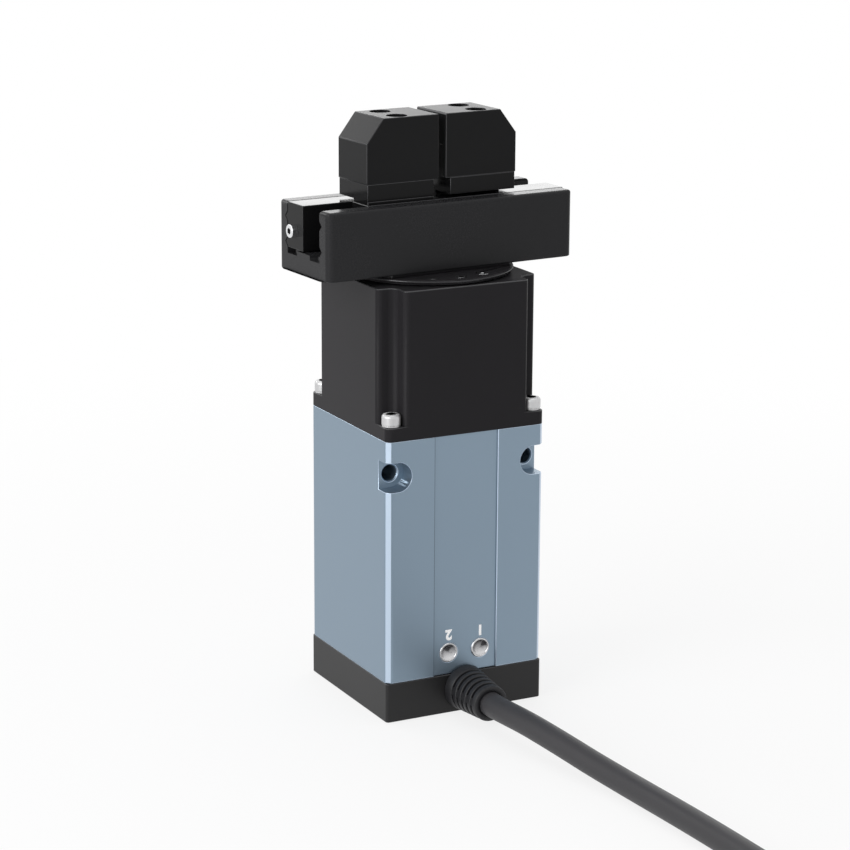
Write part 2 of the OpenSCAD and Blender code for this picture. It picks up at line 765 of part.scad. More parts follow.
// Channel section, seen along the rail
module rail_section() difference() {
    round_top(rail_w, rail_h, rail_edge_r);
    translate([-channel_half, rib_h]) square([2 * channel_half, rail_h]);
    for (s = [-1, 1]) {
        translate([s * slot_mid, rib_h - slot_depth / 2 + eps])
            square([channel_half - rib_w / 2, slot_depth + 2 * eps], center = true);
        for (z = [upper_groove_z, lower_groove_z]) translate([s * channel_half, z - z_rail])
            polygon([[-s * eps, groove_half], [s * groove_depth, 0], [-s * eps, -groove_half]]);
    }
}

module along_rail(l) {
    rotate([90, 0, 90]) translate([0, 0, -l / 2]) linear_extrude(l) children();
}

module rail_housing() color("#29292b") head() difference() {
    translate([0, 0, z_rail]) intersection() {
        along_rail(rail_l) rail_section();
        linear_extrude(rail_h) round_rect(rail_l, rail_w, rail_corner_r);
        rotate([90, 0, 0]) translate([0, 0, -rail_w / 2]) linear_extrude(rail_w)
            round_top(rail_l, rail_h, rail_edge_r);
    }
    translate([0, 0, z_rail - eps]) cylinder(d = bush_d, h = bush_h + eps);
    translate([0, 0, z_rail]) cylinder(d = shaft_d + 1, h = rib_h + 1);
    rail_screw_holes(z_rail - eps, rib_h);
    at_corners(stop_screw_x, slot_mid) translate([0, 0, z_slot - stop_screw_l]) cylinder(r = m2, h = rib_h);
}

module rail_screws() color("#9a9a9a") head() at_corners(rail_screw_x, slot_mid)
    translate([0, 0, z_slot]) cap_screw(m25, z_slot - z_hub, rail_screw_head_d, rail_screw_head_h);

module stop_screws() color("#a4a4a4") head() at_corners(stop_screw_x, slot_mid)
    translate([0, 0, z_slot]) cap_screw(m2, stop_screw_l, m2_head_d, stop_head_h);

module shaft_bush() color("#b08d57") head() translate([0, 0, z_rail])
    tube(bush_d / 2, shaft_d / 2 + run_fit, bush_h);

// ---- pinion and its shafts ----

module motor_shaft() color("#c0c0c0") head() translate([0, 0, z_motor_shaft])
    cylinder(d = motor_shaft_d, h = z_coupling + coupling_l / 2 - coupling_slit / 2 - z_motor_shaft);

module shaft_coupling() color("#8d9094") head() translate([0, 0, z_coupling]) difference() {
    cylinder(d = coupling_d, h = coupling_l);
    translate([0, 0, -eps]) cylinder(d = motor_shaft_d, h = coupling_l / 2);
    translate([0, 0, coupling_l / 2 - coupling_slit]) cylinder(d = shaft_d, h = coupling_l);
    for (z = [coupling_l * 0.3, coupling_l * 0.7], s = [-1, 1])
        translate([s * (shaft_d / 2 + 1.5) - 0.4, s > 0 ? 0 : -coupling_d, z - 0.4])
            cube([0.8, coupling_d, 0.8]);
}

module drive_shaft() color("#c0c0c0") head() translate([0, 0, z_shaft])
    cylinder(d = shaft_d, h = z_pinion + pinion_h - z_shaft);

// Point on a pinion tooth's flank at a roll angle
function roll_at(r) = r <= base_r ? 0 : sqrt(pow(r / base_r, 2) - 1);
function flank_angle(r) = tooth_half - (roll_at(r) * 180 / PI - atan(roll_at(r)));
function polar(r, a) = [r * cos(a), r * sin(a)];
flank_radii = [root_r, base_r, for (i = [1 : 4]) base_r + (tip_r - base_r) * i / 4];
pinion_outline = [
    for (k = [0 : pinion_teeth - 1])
        let (c = 90 + 360 * k / pinion_teeth)
        each concat(
            [for (i = [0 : 5]) polar(flank_radii[i], c - flank_angle(flank_radii[i]))],
            [for (i = [5 : -1 : 0]) polar(flank_radii[i], c + flank_angle(flank_radii[i]))]
        )
];

module drive_pinion() color("#b9b9ba") head() translate([0, 0, z_pinion])
    linear_extrude(pinion_h) difference() {
    polygon(pinion_outline);
    circle(d = shaft_d);
}

// ---- jaws; each is drawn as the right one, and the left one is the same part turned half round ----

// One rack tooth, its tip pointing to the pinion
module rack_tooth(x) {
    half = rack_pitch / 4 - backlash / 2;
    tip = half - rack_add * tan(pressure);
    root = half + (rack_ded + 0.1) * tan(pressure);
    translate([x, pitch_r]) polygon([
        [-tip, -rack_add], [tip, -rack_add], [root, rack_ded + 0.1], [-root, rack_ded + 0.1]
    ]);
}

module slider_bar() difference() {
    union() {
        translate([-rail_l / 2, bar_in, z_bar])
            cube([rail_l / 2 + bar_end, bar_out - bar_in, z_rail_top - z_bar]);
        for (z = [upper_groove_z, lower_groove_z]) translate([-rail_l / 2, bar_out, z])
            rotate([90, 0, 90]) linear_extrude(rail_l / 2 + bar_end)
                polygon([[-eps, groove_half], [groove_depth, 0], [-eps, -groove_half]]);
        translate([seat_in, bar_in, z_rail_top - eps])
            cube([seat_out - seat_in, bar_out - bar_in - 1, seat_gap + 2 * eps]);
    }
    translate([-rack_room_out, bar_in - 1, z_bar - 1])
        cube([rack_room_out + rack_room_in, pitch_r + rack_ded - bar_in + 1, recess_h + 1]);
    translate([-rail_l / 2 - eps, bar_mid, end_screw_z]) rotate([0, 90, 0])
        cylinder(r = m2, h = end_screw_l + 0.5);
}

module slider() difference() {
    union() {
        slider_bar();
        translate([0, 0, z_bar]) linear_extrude(recess_h)
            for (k = [rack_first : rack_last]) rack_tooth((k + 0.5) * rack_pitch);
        translate([seat_in, -finger_w / 2, z_seat]) cube([seat_out - seat_in, finger_w, seat_h]);
    }
    for (s = [-1, 1]) translate([finger_screw_x, s * finger_screw_span / 2, z_finger - 4])
        cylinder(r = m3, h = 5);
}

module finger() difference() {
    translate([0, finger_w / 2, z_finger]) rotate([90, 0, 0]) linear_extrude(finger_w) polygon([
        [finger_gap / 2, 0], [finger_out, 0], [finger_out, finger_h - chamfer_z],
        [finger_out - chamfer_x, finger_h], [finger_gap / 2 + finger_break, finger_h],
        [finger_gap / 2, finger_h - finger_break]
    ]);
    translate([finger_gap / 2 - 1, -relief_w / 2, z_finger - 1])
        cube([1 + relief_depth, relief_w, 1 + relief_h]);
    for (s = [-1, 1]) translate([finger_screw_x, s * finger_screw_span / 2, 0]) {
        translate([0, 0, z_finger - eps]) cylinder(r = m3 + hole_play, h = finger_h);
        translate([0, 0, z_tip - finger_pocket_depth]) cylinder(r = 3, h = finger_pocket_depth + 1);
    }
}

module finger_screws() {
    for (s = [-1, 1]) translate([finger_screw_x, s * finger_screw_span / 2, z_tip - finger_pocket_depth])
        cap_screw(m3, finger_h - finger_pocket_depth + finger_grip, m3_head_d, m3_head_h);
}

module end_screw() translate([-rail_l / 2, bar_mid, end_screw_z]) rotate([0, -90, 0])
    cap_screw(m2, end_screw_l, m2_head_d, end_head_h);

module turned() {
    rotate([0, 0, 180]) children();
}

module right_slider() color("#2d2d2f") head() slider();
module right_finger() color("#2d2d2f") head() finger();
module right_finger_screws() color("#9a9a9a") head() finger_screws();
module right_end_screw() color("#d8d8d8") head() end_screw();
module left_slider() color("#2d2d2f") head() turned() slider();
module left_finger() color("#2d2d2f") head() turned() finger();
module left_finger_screws() color("#9a9a9a") head() turned() finger_screws();
module left_end_screw() color("#d8d8d8") head() turned() end_screw();

// ---- cable ----

// Ribbed strain relief, its outline as radius against distance from the cap
rib_pitch = (boot_l - boot_root) / (boot_ribs + 0.25);
function boot_r(y) = boot_d / 2 - (boot_d - boot_tip_d) / 2 * y / boot_l;
boot_outline = concat(
    [[cable_r, 0], [boot_r(0), 0], [boot_r(boot_root), boot_root]],
    [for (i = [0 : boot_ribs - 1], step = [0, 1, 2, 3])
        let (y = boot_root + rib_pitch * (i + [0, 0.35, 0.35, 1][step]))
        [boot_r(y) - [boot_dip, boot_dip, 0, 0][step], y]],
    [[boot_r(boot_l) - nose_chamfer, boot_l], [cable_r, boot_l]]
);

module cable_gland() color("#1d1d1f") translate([0, boot_start, outlet_z]) rotate([90, 0, 0]) {
    rotate_extrude() polygon(boot_outline);
    translate([0, 0, -neck_l]) difference() {
        cylinder(d = neck_d, h = neck_l + eps);
        translate([0, 0, -1]) cylinder(r = cable_r - 0.6, h = neck_l + 2);
    }
}

function unit(v) = v / norm(v);
function heading(p, i) = unit(p[min(i + 1, len(p) - 1)] - p[max(i - 1, 0)]);

// Round tube swept along the points of a route that never runs straight up
module sweep(p, r, n) {
    points = [
        for (i = [0 : len(p) - 1])
            let (t = heading(p, i), side = unit(cross(t, [0, 0, 1])), up = cross(side, t))
            for (k = [0 : n - 1])
                let (a = 360 * k / n)
                p[i] + r * (cos(a) * side + sin(a) * up)
    ];
    faces = [
        [for (k = [0 : n - 1]) k],
        for (i = [0 : len(p) - 2], k = [0 : n - 1])
            [i * n + k, (i + 1) * n + k, (i + 1) * n + (k + 1) % n, i * n + (k + 1) % n],
        [for (k = [n - 1 : -1 : 0]) (len(p) - 1) * n + k]
    ];
    polyhedron(points, faces);
}

module cable() color("#2a2a2c") {
    sweep(cable_lead, cable_r, cable_sides);
    sweep(cable_tail, cable_r, cable_sides);
}

module cable_coil() color("#2a2a2c") translate([coil_x, coil_y, 0]) rotate_extrude()
    translate([coil_d / 2 - cable_r, 0]) square([cable_d, coil_layers * cable_d]);

// Round screw-lock plug: moulded tail, grip ring and pin chamber
module cable_plug() color("#3a3a3c")
    translate([tail_x, plug_y, plug_d / 2]) rotate([-90, 0, 0]) rotate_extrude() polygon([
        [cable_r, 0], [plug_d * 0.3, 0], [plug_d * 0.42, plug_l * 0.4], [plug_d * 0.42, plug_l * 0.52],
        [plug_d / 2, plug_l * 0.52], [plug_d / 2, plug_l * 0.84], [plug_d * 0.4, plug_l * 0.84],
        [plug_d * 0.4, plug_l], [plug_d * 0.31, plug_l], [plug_d * 0.31, plug_l - 5],
        [0, plug_l - 5], [0, plug_socket], [cable_r, plug_socket]
    ]);

base_cap();
cap_screws();
body_housing();
status_lenses();
lens_rings();
control_board();
board_standoffs();
grip_motor();
motor_encoder();
motor_plate();
plate_screws();
motor_screws();
drive_housing();
housing_screws();
housing_washers();
stator_core();
stator_coils();
bearing_outer_ring();
bearing_clip();
angle_reader();
rotor_tube();
rotor_magnets();
bearing_inner_ring();
bearing_balls();
code_disc();
table_hub();
hub_screws();
output_disc();
disc_screws();
rail_housing();
rail_screws();
stop_screws();
shaft_bush();
motor_shaft();
shaft_coupling();
drive_shaft();
drive_pinion();
left_slider();
left_finger();
left_finger_screws();
left_end_screw();
right_slider();
right_finger();
right_finger_screws();
right_end_screw();
cable_gland();
cable();
cable_coil();
cable_plug();
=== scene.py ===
"""Looks of an electric two finger gripper: bevelled metalwork, procedural finishes, cable, light, floor."""

import math

import bmesh
import bpy
from mathutils import Matrix, Quaternion, Vector


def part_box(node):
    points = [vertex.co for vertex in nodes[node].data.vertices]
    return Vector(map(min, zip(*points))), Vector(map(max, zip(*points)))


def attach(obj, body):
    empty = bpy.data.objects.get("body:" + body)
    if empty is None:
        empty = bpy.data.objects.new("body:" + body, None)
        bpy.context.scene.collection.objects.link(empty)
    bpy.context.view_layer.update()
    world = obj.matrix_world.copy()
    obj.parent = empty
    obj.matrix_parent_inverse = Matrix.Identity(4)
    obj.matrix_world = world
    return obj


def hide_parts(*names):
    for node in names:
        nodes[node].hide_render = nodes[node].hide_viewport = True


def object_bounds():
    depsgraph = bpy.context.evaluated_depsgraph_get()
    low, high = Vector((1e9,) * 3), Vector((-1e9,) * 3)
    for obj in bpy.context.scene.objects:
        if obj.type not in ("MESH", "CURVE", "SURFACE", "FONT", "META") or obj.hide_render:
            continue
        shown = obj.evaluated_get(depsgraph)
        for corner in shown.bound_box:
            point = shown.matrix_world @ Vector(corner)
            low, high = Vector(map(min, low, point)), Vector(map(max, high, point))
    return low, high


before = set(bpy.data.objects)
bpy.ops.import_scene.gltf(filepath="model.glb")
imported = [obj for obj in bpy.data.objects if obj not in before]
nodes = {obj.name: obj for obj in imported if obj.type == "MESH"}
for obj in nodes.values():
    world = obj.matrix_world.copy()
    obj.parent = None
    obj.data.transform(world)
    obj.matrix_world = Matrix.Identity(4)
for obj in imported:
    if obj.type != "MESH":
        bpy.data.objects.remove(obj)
cad_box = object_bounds()
MM = 0.001


def mm(x, y, z):
    """Point in metres from millimetres"""
    return Vector((x, y, z)) * MM


def add_object(name, data):
    """New object in the scene with this data"""
    made = bpy.data.objects.new(name, data)
    bpy.context.scene.collection.objects.link(made)
    return made


# ---- camera ----

CAMERA_AT = mm(-353.268, -683.684, 279.563)
CAMERA_SIGHT = Vector((0.443807, 0.859863, -0.252330))
CAMERA_ROLL = 0.005215


def set_camera():
    """Long lens a little above the object, off its left front corner"""
    data = bpy.data.cameras.new("camera")
    data.sensor_width = 36
    data.lens = 116.646
    data.clip_start = 0.05
    data.clip_end = 60
    camera = add_object("camera", data)
    turn = CAMERA_SIGHT.to_track_quat("-Z", "Y") @ Quaternion((0, 0, 1), CAMERA_ROLL)
    camera.matrix_world = Matrix.Translation(CAMERA_AT) @ turn.to_matrix().to_4x4()
    bpy.context.scene.camera = camera


set_camera()

# ---- sizes taken from the solids, in millimetres ----

HOUSING_LOW, HOUSING_HIGH = (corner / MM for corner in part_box("body_housing"))
LENSES_LOW, LENSES_HIGH = (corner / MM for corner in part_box("status_lenses"))
LENS_D = 4.6
LIGHT_SPAN = LENSES_HIGH.x - LENSES_LOW.x - LENS_D
LIGHT_Y = LENSES_LOW.y
LIGHT_Z = (LENSES_LOW.z + LENSES_HIGH.z) / 2
HEAD_TURN = math.radians(3.8)
ALONG_RAIL = Vector((math.cos(HEAD_TURN), math.sin(HEAD_TURN), 0))
FACING_OUT = Matrix.Rotation(math.radians(90), 4, "X")

# ---- shader maths ----


class Value:
    """A socket of a finish; plain maths on it adds Math nodes"""

    def __init__(self, finish, socket):
        self.finish = finish
        self.socket = socket

    def maths(self, operation, *values):
        """The result of a Math node"""
        return self.finish.node("ShaderNodeMath", {"operation": operation}, dict(enumerate(values)))

    def __add__(self, other):
        return self.maths("ADD", self, other)

    def __sub__(self, other):
        return self.maths("SUBTRACT", self, other)

    def __mul__(self, other):
        return self.maths("MULTIPLY", self, other)

    def __truediv__(self, other):
        return self.maths("DIVIDE", self, other)

    def __lt__(self, other):
        return self.maths("LESS_THAN", self, other)

    def __gt__(self, other):
        return self.maths("GREATER_THAN", self, other)

    def __abs__(self):
        return self.maths("ABSOLUTE", self)


class Finish:
    """A material in the making, with one Principled shader"""

    def __init__(self, name, **constants):
        self.material = bpy.data.materials.new(name)
        self.material.use_nodes = True
        self.tree = self.material.node_tree
        self.shader = self.tree.nodes["Principled BSDF"]
        for socket, value in constants.items():
            self.shader.inputs[socket.replace("_", " ")].default_value = value
        self.place = self.node("ShaderNodeTexCoord", output="Object")

    def node(self, kind, settings=None, sockets=None, output=0):
        """Any node: its settings first, then the values or links of its sockets"""
        made = self.tree.nodes.new(kind)
        for name, value in (settings or {}).items():
            if name == "stops":
                self.set_stops(made.color_ramp, value)
            else:
                setattr(made, name, value)
        for name, value in (sockets or {}).items():
            self.feed(made.inputs[name], value)
        return Value(self, made.outputs[output])

    def set_stops(self, ramp, stops):
        """Positions and colours of a colour ramp"""
        while len(ramp.elements) < len(stops):
            ramp.elements.new(0.5)
        for element, (at, colour) in zip(ramp.elements, stops):
            element.position = at
            element.color = (*colour, 1)

    def feed(self, socket, value):
        """Links a value to a socket, or sets the socket"""
        if isinstance(value, Value):
            self.tree.links.new(value.socket, socket)
        else:
            socket.default_value = value

    def put(self, socket, value):
        """Gives the shader's socket a varying value"""
        self.feed(self.shader.inputs[socket], value)

    def along(self, axis):
        """One of the Object coordinates: 0, 1 or 2"""
        return self.node("ShaderNodeSeparateXYZ", {}, {0: self.place}, output=axis)

    def noise(self, scale, detail, rough=0.5, place=None):
        """Noise from 0 to 1 with features of 1 / scale metres"""
        return self.node(
            "ShaderNodeTexNoise",
            {"noise_dimensions": "3D"},
            {"Vector": place or self.place, "Scale": scale, "Detail": detail, "Roughness": rough},
        )

    def stretch(self, x, y, z):
        """Object coordinates scaled along each axis"""
        return self.node("ShaderNodeMapping", {"vector_type": "POINT"},
                         {"Vector": self.place, "Scale": (x, y, z)})

    def layers(self, scale, **more):
        """Soft bands from 0 to 1, stacked along Z"""
        return self.node("ShaderNodeTexWave", {"wave_type": "BANDS", "bands_direction": "Z"},
                         {"Vector": self.place, "Scale": scale, **more}, output="Fac")

    def blend(self, mask, first, second):
        """Colour between two colours by a mask"""
        colours = [(*colour, 1) if isinstance(colour, tuple) else colour for colour in (first, second)]
        return self.node("ShaderNodeMix", {"data_type": "RGBA", "blend_type": "MIX"},
                         {0: mask, 6: colours[0], 7: colours[1]}, output=2)

    def ramp(self, value, *stops):
        """Grey or colour from a value"""
        return self.node("ShaderNodeValToRGB", {"stops": stops}, {0: value})

    def relief(self, height, distance, strength):
        """Bump from a height"""
        sockets = {"Height": height, "Distance": distance, "Strength": strength}
        return self.node("ShaderNodeBump", {}, sockets)


# ---- finishes ----

# Painted shade: a thin dark line down the left step of the front panel, where the step lies in shade
PAINTED_SHADE_X = -0.01
PAINTED_SHADE_HALF = 0.00015
PAINTED_SHADE_FRONT = -0.0242
PAINTED_SHADE_DEPTH = 0.7
LENS_HALF = 0.0022


def shade(colour, factor):
    """Colour made lighter or darker"""
    return tuple(min(1.0, c * factor) for c in colour)


def anodised(name, colour, roughness, metallic, specular, grain=0.000012, spread=0.22, painted_shade_at=None):
    """Blasted and anodised aluminium: fine grain, a slow change of tone, and a line of painted shade down
    the left step of the front panel
    """
    finish = Finish(name, Metallic=metallic, Specular_IOR_Level=specular)
    cloud = finish.noise(scale=24, detail=3)
    grit = finish.noise(scale=3400, detail=2, rough=0.6)
    tone = finish.blend(cloud * 0.55 + grit * 0.45, shade(colour, 1 - spread), shade(colour, 1 + spread))
    if painted_shade_at is not None:
        # painted shade along the panel's left step
        in_painted_shade = abs(finish.along(0) - painted_shade_at) < PAINTED_SHADE_HALF
        in_front = finish.along(1) < PAINTED_SHADE_FRONT
        tone = finish.blend(in_painted_shade * in_front * PAINTED_SHADE_DEPTH, tone, shade(colour, 0.2))
    finish.put("Base Color", tone)
    finish.put("Roughness", cloud * 0.1 + grit * 0.06 + (roughness - 0.08))
    finish.put("Normal", finish.relief(grit, distance=grain, strength=0.6))
    return finish.material


def milled(name, colour, roughness, metallic=1.0, specular=0.5, lines=(90, 90, 5200)):
    """Machined metal with fine tool marks along two axes"""
    finish = Finish(name, Metallic=metallic, Specular_IOR_Level=specular)
    marks = finish.noise(scale=1, detail=3, rough=0.6, place=finish.stretch(*lines))
    cloud = finish.noise(scale=60, detail=2)
    tone = finish.blend(marks * 0.6 + cloud * 0.4, shade(colour, 0.82), shade(colour, 1.1))
    finish.put("Base Color", tone)
    finish.put("Roughness", marks * 0.14 + (roughness - 0.06))
    finish.put("Normal", finish.relief(marks, distance=0.000008, strength=0.5))
    return finish.material


def moulded(name, colour, roughness, grain=0.00002, **constants):
    """Moulded rubber or plastic with a fine matt grain"""
    finish = Finish(name, Specular_IOR_Level=0.4, **constants)
    cloud = finish.noise(scale=45, detail=3)
    grit = finish.noise(scale=2600, detail=3, rough=0.6)
    tone = finish.blend(cloud * 0.7 + grit * 0.3, shade(colour, 0.8), shade(colour, 1.25))
    finish.put("Base Color", tone)
    finish.put("Roughness", cloud * 0.12 + grit * 0.08 + (roughness - 0.1))
    finish.put("Normal", finish.relief(grit, distance=grain, strength=0.5))
    return finish.material


def copper_wire(name):
    """Enamelled wire, wound in even turns along the stack"""
    finish = Finish(name, Metallic=0.9, Coat_Weight=0.5, Coat_Roughness=0.15)
    turns = finish.layers(520.0, Distortion=0.6, Detail=1.0)
    cloud = finish.noise(scale=400, detail=2)
    between, wire = (0.24, 0.075, 0.025), (0.62, 0.26, 0.1)
    finish.put("Base Color", finish.blend(turns * 0.7 + cloud * 0.3, between, wire))
    finish.put("Roughness", cloud * 0.15 + 0.22)
    finish.put("Normal", finish.relief(turns, distance=0.00008, strength=0.8))
    return finish.material


def circuit_board(name):
    """Green solder resist with tracks showing through"""
    finish = Finish(name, Coat_Weight=0.3, Coat_Roughness=0.2)
    cells = finish.node("ShaderNodeTexVoronoi", {"distance": "CHEBYCHEV", "feature": "DISTANCE_TO_EDGE"},
                        {"Vector": finish.place, "Scale": 420.0}, output="Distance")
    tracks = cells < 0.09
    cloud = finish.noise(scale=120, detail=2)
    resist, track = (0.006, 0.05, 0.022), (0.03, 0.17, 0.075)
    finish.put("Base Color", finish.blend(tracks * 0.7 + cloud * 0.2, resist, track))
    finish.put("Roughness", cloud * 0.15 + 0.3)
    finish.put("Normal", finish.relief(tracks, distance=0.00002, strength=0.6))
    return finish.material


def etched_glass(name):
    """Code disc with fine dark lines round its rim"""
    finish = Finish(name, Roughness=0.12, Specular_IOR_Level=0.5)
    x, y = finish.along(0), finish.along(1)
    angle = x.maths("ARCTAN2", y, x)
    marks = angle.maths("SINE", angle * 180.0) > 0.1
    finish.put("Base Color", finish.blend(marks, (0.72, 0.76, 0.8), (0.06, 0.065, 0.07)))
    finish.put("Roughness", marks * 0.3 + 0.1)
    return finish.material


def silvered_lens(name):
    """Silver behind a dished lens, with painted shade at the top and painted light at the bottom"""
    finish = Finish(name, Metallic=0.85, Coat_Weight=0.3, Coat_Roughness=0.1)
    # painted light and shade: darker up the lens, lighter down it
    painted_light_fall = (finish.along(2) - LIGHT_Z * MM) / LENS_HALF * 0.5 + 0.5
    mottled_painted_light = painted_light_fall + finish.noise(scale=1500, detail=2) * 0.12 - 0.06
    low, middle, high = (0.62, 0.62, 0.63), (0.36, 0.36, 0.37), (0.1, 0.1, 0.105)
    finish.put("Base Color", finish.ramp(mottled_painted_light, (0.12, low), (0.45, middle), (0.9, high)))
    finish.put("Roughness", finish.noise(scale=900, detail=2) * 0.1 + 0.2)
    return finish.material


def stacked_steel(name):
    """Laminated core: thin sheets on edge"""
    finish = Finish(name, Metallic=1.0)
    sheets = finish.layers(330.0, Distortion=0.2)
    cloud = finish.noise(scale=180, detail=3)
    between, sheet = (0.12, 0.12, 0.125), (0.42, 0.42, 0.44)
    finish.put("Base Color", finish.blend(sheets * 0.6 + cloud * 0.4, between, sheet))
    finish.put("Roughness", sheets * 0.2 + 0.35)
    finish.put("Normal", finish.relief(sheets, distance=0.00004, strength=0.7))
    return finish.material


# Anodised: name, colour, roughness, metallic, specular, then grain, spread of tone and where the painted
# shade line runs
black_metal = anodised("black_anodised", (0.0212, 0.0202, 0.0222), 0.30, 0.0, 0.06)
# Lighter, glossier copy of the black finish for broken edges: a painted highlight
black_painted_highlight = anodised("black_anodised_painted_highlight", (0.05, 0.05, 0.053), 0.26, 0.25, 0.4)
cap_metal = anodised("cap_black", (0.006, 0.0058, 0.0063), 0.45, 0.0, 0.38)
rail_metal = anodised("rail_black", (0.0225, 0.0225, 0.024), 0.26, 0.0, 0.115)
finger_metal = anodised("finger_black", (0.0095, 0.0095, 0.01), 0.34, 0.0, 0.1)
# Lighter, glossier copy of the finger finish for broken edges: a painted highlight
finger_painted_highlight = anodised("finger_black_painted_highlight", (0.032, 0.032, 0.034), 0.26, 0.25, 0.4)
blue_metal = anodised("blue_grey_anodised", (0.238, 0.31, 0.383), 0.40, 0.85, 0.5, 0.00001, 0.06, PAINTED_SHADE_X)
# Lighter copy of the blue-grey finish for broken edges and corner flats: a painted highlight
blue_painted_highlight = anodised("blue_grey_painted_highlight", (0.5, 0.6, 0.72), 0.34, 0.9, 0.5, 0.00001, 0.04)

# Milled: name, colour, roughness, metallic, specular and how closely the tool marks lie along each axis
slide_metal = milled("slider_black", (0.008, 0.008, 0.0085), 0.15, 0.0, 0.12, (60, 60, 3000))
stainless = milled("stainless", (0.66, 0.66, 0.665), 0.24)
screw_steel = milled("screw_steel", (0.6, 0.6, 0.605), 0.38, 0.85, lines=(2600, 2600, 60))
bright_steel = milled("bright_steel", (0.78, 0.785, 0.8), 0.16)
gold = milled("gold_plate", (0.78, 0.55, 0.2), 0.22)
plain_steel = milled("turned_steel", (0.52, 0.525, 0.535), 0.3)
plain_aluminium = milled("milled_aluminium", (0.66, 0.67, 0.68), 0.34, lines=(900, 60, 900))
brass = milled("turned_brass", (0.72, 0.53, 0.22), 0.28)
bronze = milled("sintered_bronze", (0.46, 0.3, 0.14), 0.5)
nickel = milled("nickel_plate", (0.5, 0.49, 0.48), 0.25)
dark_steel = milled("dark_steel", (0.035, 0.035, 0.037), 0.32, 0.6)
# Dark steel for screw sockets: painted shade
socket_painted_shade = milled("socket_shadow", (0.05, 0.05, 0.052), 0.5, 0.6)
# Pale, barely metallic steel for the tops of the flange screws: painted light
pale_top_painted_light = milled("pale_steel_painted_light", (0.78, 0.78, 0.785), 0.5, 0.1)
spring_steel = milled("blackened_steel", (0.09, 0.09, 0.095), 0.4, 0.8)
ring_steel = milled("ring_steel", (0.3, 0.3, 0.31), 0.22)
# Pale steel for the rims of the lens rings: a painted highlight
ring_painted_highlight = milled("ring_steel_painted_highlight", (0.75, 0.755, 0.765), 0.25)

# Moulded and printed: name, colour, roughness, grain; the white print also glows faintly, a painted light
rubber = moulded("boot_rubber", (0.012, 0.012, 0.014), 0.5)
sheath = moulded("cable_sheath", (0.034, 0.033, 0.036), 0.5, 0.00003)
dark_plastic = moulded("dark_plastic", (0.022, 0.022, 0.024), 0.45)
lacquer = moulded("motor_lacquer", (0.018, 0.018, 0.02), 0.3)
# The white print glows faintly: painted light that lifts the numerals to white
painted_glow_print = moulded("white_print_painted_glow", (0.93, 0.935, 0.94), 0.5, 0.000005, Emission_Color=(1, 1, 1, 1),
                      Emission_Strength=0.22)

lens_silver = silvered_lens("silvered_lens")
copper = copper_wire("copper_wire")
board_green = circuit_board("board_green")
code_glass = etched_glass("etched_glass")
lamination = stacked_steel("lamination_steel")

# ---- pieces ----

SMOOTH_BELOW = math.radians(32)
CORNER_ABOVE = math.radians(34)


def piece_from(name, bm, *finishes):
    """Object with this mesh, at the origin, smooth apart from its corners"""
    mesh = bpy.data.meshes.new(name)
    bm.to_mesh(mesh)
    bm.free()
    for face in mesh.polygons:
        face.use_smooth = True
    mesh.set_sharp_from_angle(angle=SMOOTH_BELOW)
    for finish in finishes:
        mesh.materials.append(finish)
    return add_object(name, mesh)


def belong(piece, body, slot, *replaced):
    """Ties a piece to its body and hides the CAD nodes that it stands for; the slot is not used"""
    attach(piece, body)
    if replaced:
        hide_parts(*replaced)
    return piece


def spun(profile, steps=64):
    """bmesh of an outline turned round the Z axis; points are radius and height in millimetres"""
    bm = bmesh.new()
    ring = [bm.verts.new(mm(r, 0, z)) for r, z in profile]
    edges = [bm.edges.new(pair) for pair in zip(ring, ring[1:])]
    bmesh.ops.spin(bm, geom=ring + edges, cent=(0, 0, 0), axis=(0, 0, 1), angle=math.tau, steps=steps,
                   use_merge=True)
    bmesh.ops.remove_doubles(bm, verts=bm.verts, dist=0.000001)
    bmesh.ops.recalc_face_normals(bm, faces=bm.faces)
    return bm


def laid(bm, matrix):
    """The bmesh moved to its place"""
    bmesh.ops.transform(bm, matrix=matrix, verts=bm.verts)
    return bm


def add_block(bm, size, place):
    """Box of this size in millimetres at its place; gives its corners"""
    corners = bmesh.ops.create_cube(bm, size=1)["verts"]
    span = Matrix.Diagonal((*(side * MM for side in size), 1))
    bmesh.ops.transform(bm, matrix=place @ span, verts=corners)
    return corners


# ---- cable ----

CABLE_D = 7
COIL_CENTRE = (-27.5, -212)
COIL_R = 38
COIL_TURNS = 1.5
POINTS_PER_TURN = 24
CLIMB_FROM = 0.6
CLIMB_TURNS = 0.28
PLUG_X = COIL_CENTRE[0] - COIL_R
PLUG_Y = -187
PLUG_Z = 7.25

# From the outlet down to the ground and along it to the coil
LEAD = [
    (0, -38, 7), (0, -44, 7), (0.6, -50, 7), (1.6, -58, 6.9), (2.8, -67, 6.4), (4.2, -77, 5.6),
    (5.8, -88, 4.6), (7.4, -99, 3.8), (8.4, -110, 3.5), (9.2, -124, 3.5), (9.9, -140, 3.5),
    (10.3, -158, 3.5), (10.5, -176, 3.5), (10.5, -194, 3.5), (10.5, -212, 3.5),
]
# From the end of the coil into the plug
TAIL = [
    (PLUG_X, -207, 10.2), (PLUG_X, -201, 9.2), (PLUG_X, -195, 8), (PLUG_X, -188, PLUG_Z),
    (PLUG_X, -182, PLUG_Z),
]


